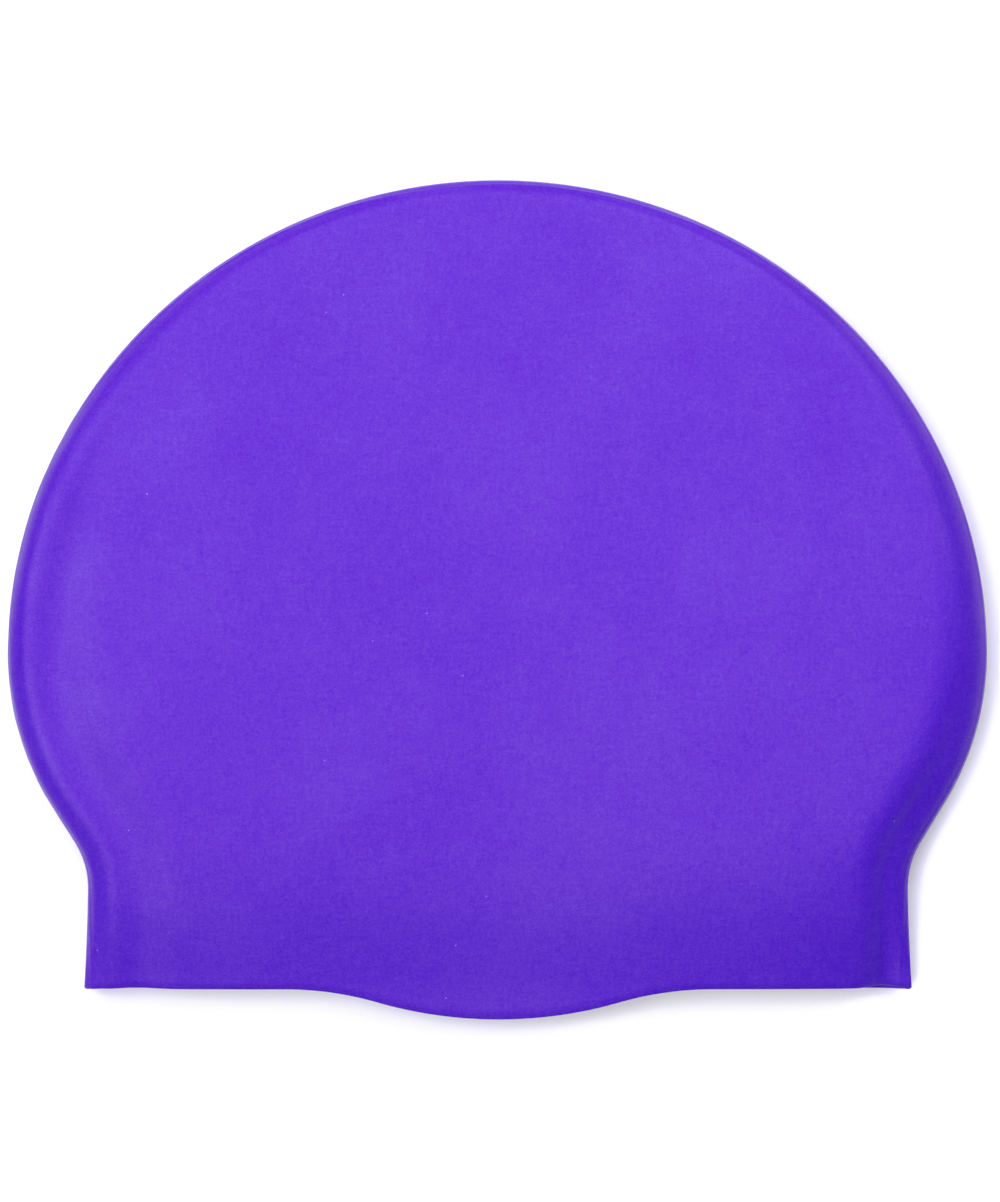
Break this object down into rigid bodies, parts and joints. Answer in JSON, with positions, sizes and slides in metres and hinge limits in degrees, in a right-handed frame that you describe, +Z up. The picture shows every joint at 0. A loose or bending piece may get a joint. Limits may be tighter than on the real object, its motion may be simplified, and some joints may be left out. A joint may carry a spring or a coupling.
{
  "type": "swim cap",
  "caption": "Moulded silicone swim cap lying flat: an oval crown, rolled margins, a slightly narrower neck and an open rim with shallow ear lobes.",
  "frame": {"origin": "middle of the cap's footprint, on the surface that it lies on", "axes": "+X across the cap, +Y from the open rim to the crown, +Z up, away from the surface that it lies on"},
  "size_m": [0.2208, 0.1903, 0.02],
  "materials": {
    "silicone": "satin"
  },
  "bodies": {
    "root": {"cap_shell": "silicone"}
  },
  "joints": []
}
